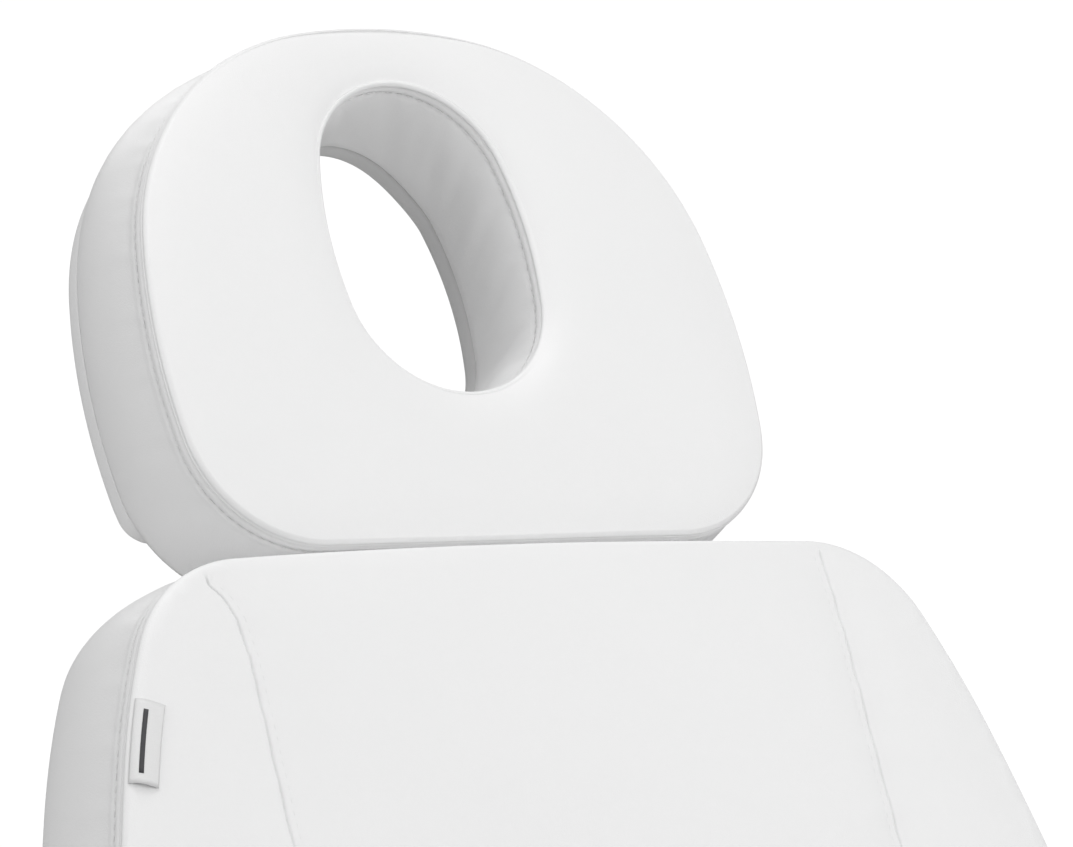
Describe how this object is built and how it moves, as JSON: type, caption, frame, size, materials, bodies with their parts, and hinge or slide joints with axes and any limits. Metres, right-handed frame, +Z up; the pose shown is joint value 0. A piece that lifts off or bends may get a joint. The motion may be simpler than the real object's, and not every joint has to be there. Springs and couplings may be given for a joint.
{
  "type": "electric treatment chair",
  "caption": "Electric treatment chair: padded seat, reclining back, leg rest, fold-up armrests, and a sliding, tilting headrest with a face hole, on a lifting column.",
  "frame": {"origin": "on the floor, under the middle of the bounding box at rest", "axes": "+X towards the left arm as the user sits, +Y from the leg rest towards the headrest, +Z up"},
  "size_m": [0.864, 1.2951, 1.5187],
  "materials": {
    "vinyl": "satin white upholstery vinyl with a fine grain",
    "board": "birch plywood",
    "head_shell": "vinyl-wrapped plywood",
    "frame_paint": "white powder coat, fine texture",
    "column_paint": "satin white powder coat",
    "zinc": "zinc-plated",
    "chrome": "polished",
    "abs": "white moulded ABS, fine texture",
    "grey_plastic": "mid grey moulded plastic",
    "black_plastic": "black moulded plastic",
    "actuator": "black glass-filled nylon",
    "rubber": "black rubber",
    "tab": "woven satin tape",
    "key": "blue-grey keys"
  },
  "bodies": {
    "base": {"base_frame": "frame_paint", "column_plate": "frame_paint", "base_cover": "abs", "foot_pads": "rubber", "foot_studs": "zinc", "column_outer": "column_paint", "outer_collar": "grey_plastic", "lift_motor": "actuator", "mains_inlet": "black_plastic", "control_box": "black_plastic"},
    "middle_stage": {"column_middle": "column_paint", "middle_collar": "grey_plastic"},
    "seat": {"column_inner": "column_paint", "lift_spindle": "zinc", "seat_frame": "frame_paint", "top_plate": "frame_paint", "frame_pins": "zinc", "side_plates": "frame_paint", "pivot_bolts": "zinc", "pivot_caps": "grey_plastic", "seat_board": "board", "seat_cushion": "vinyl", "arm_posts": "frame_paint", "handset_holder": "grey_plastic"},
    "backrest": {"back_board": "board", "back_cushion": "vinyl", "back_frame": "frame_paint", "back_lever_pin": "zinc", "back_arms": "frame_paint", "headrest_sockets": "frame_paint", "socket_bushes": "grey_plastic", "label_tab": "tab"},
    "headrest_slider": {"headrest_yoke": "chrome"},
    "headrest": {"headrest_bracket": "frame_paint", "headrest_board": "head_shell", "headrest_cushion": "vinyl"},
    "knob": {"lock_knob": "black_plastic"},
    "leg_rest": {"leg_board": "board", "leg_cushion": "vinyl", "leg_frame": "frame_paint", "leg_lever_pin": "zinc"},
    "armrest_left": {"arm_pad_left": "vinyl", "arm_bracket_left": "frame_paint"},
    "armrest_right": {"arm_pad_right": "vinyl", "arm_bracket_right": "frame_paint"},
    "back_drive": {"back_actuator_body": "actuator"},
    "back_ram": {"back_actuator_rod": "chrome"},
    "leg_drive": {"leg_actuator_body": "actuator"},
    "leg_ram": {"leg_actuator_rod": "chrome"},
    "handset": {"handset_shell": "abs"},
    "rocker": {"mains_switch": "black_plastic"},
    "button_back_down": {"key_back_down": "key"},
    "button_back_up": {"key_back_up": "key"},
    "button_leg_down": {"key_leg_down": "key"},
    "button_leg_up": {"key_leg_up": "key"},
    "button_seat_down": {"key_seat_down": "key"},
    "button_seat_up": {"key_seat_up": "key"}
  },
  "joints": [
    {"name": "seat_lift", "type": "slide", "parent": "base", "child": "seat", "axis": [0, 0, 1], "range_m": [0, 0.24]},
    {"name": "middle_stage_lift", "type": "slide", "parent": "base", "child": "middle_stage", "axis": [0, 0, 1], "range_m": [0, 0.12]},
    {"name": "back_recline", "type": "hinge", "parent": "seat", "child": "backrest", "pos_m": [0, 0.165, 0.57], "axis": [1, 0, 0], "range_deg": [-66, 1.5]},
    {"name": "leg_tilt", "type": "hinge", "parent": "seat", "child": "leg_rest", "pos_m": [0, -0.258, 0.505], "axis": [-1, 0, 0], "range_deg": [-30, 45]},
    {"name": "headrest_slide", "type": "slide", "parent": "backrest", "child": "headrest_slider", "axis": [0, 0.4067, 0.9135], "range_m": [0, 0.08]},
    {"name": "headrest_tilt", "type": "hinge", "parent": "headrest_slider", "child": "headrest", "pos_m": [0, 0.55808, 1.24881], "axis": [1, 0, 0], "range_deg": [-30, 0]},
    {"name": "knob_turn", "type": "hinge", "parent": "backrest", "child": "knob", "pos_m": [0.06, 0.54084, 1.13388], "axis": [0, 0.9135, -0.4067], "range_deg": [0, 180]},
    {"name": "armrest_left_fold", "type": "hinge", "parent": "seat", "child": "armrest_left", "pos_m": [0.344, 0.045, 0.745], "axis": [-1, 0, 0], "range_deg": [0, 90]},
    {"name": "armrest_right_fold", "type": "hinge", "parent": "seat", "child": "armrest_right", "pos_m": [-0.344, 0.045, 0.745], "axis": [-1, 0, 0], "range_deg": [0, 90]},
    {"name": "back_drive_swing", "type": "hinge", "parent": "seat", "child": "back_drive", "pos_m": [0.14, -0.06, 0.37], "axis": [1, 0, 0], "range_deg": [-0.12, 1]},
    {"name": "back_ram_slide", "type": "slide", "parent": "back_drive", "child": "back_ram", "axis": [0, 0.896, 0.444], "range_m": [-0.09238, 0.00288]},
    {"name": "leg_drive_swing", "type": "hinge", "parent": "seat", "child": "leg_drive", "pos_m": [-0.14, -0.058, 0.433], "axis": [-1, 0, 0], "range_deg": [-3.59, 5.33]},
    {"name": "leg_ram_slide", "type": "slide", "parent": "leg_drive", "child": "leg_ram", "axis": [0, -0.9927, 0.1203], "range_m": [-0.02473, 0.03669]},
    {"name": "handset_lift", "type": "slide", "parent": "seat", "child": "handset", "axis": [0, 0, 1], "range_m": [0, 0.12]},
    {"name": "mains_rocker", "type": "hinge", "parent": "base", "child": "rocker", "pos_m": [0.016, 0.416, 0.05], "axis": [1, 0, 0], "range_deg": [-12, 0]},
    {"name": "press_back_down", "type": "slide", "parent": "handset", "child": "button_back_down", "axis": [-1, 0, 0], "range_m": [0, 0.0012], "stiffness_N_per_m": 500},
    {"name": "press_back_up", "type": "slide", "parent": "handset", "child": "button_back_up", "axis": [-1, 0, 0], "range_m": [0, 0.0012], "stiffness_N_per_m": 500},
    {"name": "press_leg_down", "type": "slide", "parent": "handset", "child": "button_leg_down", "axis": [-1, 0, 0], "range_m": [0, 0.0012], "stiffness_N_per_m": 500},
    {"name": "press_leg_up", "type": "slide", "parent": "handset", "child": "button_leg_up", "axis": [-1, 0, 0], "range_m": [0, 0.0012], "stiffness_N_per_m": 500},
    {"name": "press_seat_down", "type": "slide", "parent": "handset", "child": "button_seat_down", "axis": [-1, 0, 0], "range_m": [0, 0.0012], "stiffness_N_per_m": 500},
    {"name": "press_seat_up", "type": "slide", "parent": "handset", "child": "button_seat_up", "axis": [-1, 0, 0], "range_m": [0, 0.0012], "stiffness_N_per_m": 500}
  ],
  "couplings": [
    {"joint": "middle_stage_lift", "follows": "seat_lift", "ratio": 0.5},
    {"joint": "back_drive_swing", "follows": "back_recline", "ratio": -0.013606},
    {"joint": "back_ram_slide", "follows": "back_recline", "m_per_rad": 0.079503},
    {"joint": "leg_drive_swing", "follows": "leg_tilt", "ratio": 0.11621},
    {"joint": "leg_ram_slide", "follows": "leg_tilt", "m_per_rad": 0.045701}
  ]
}
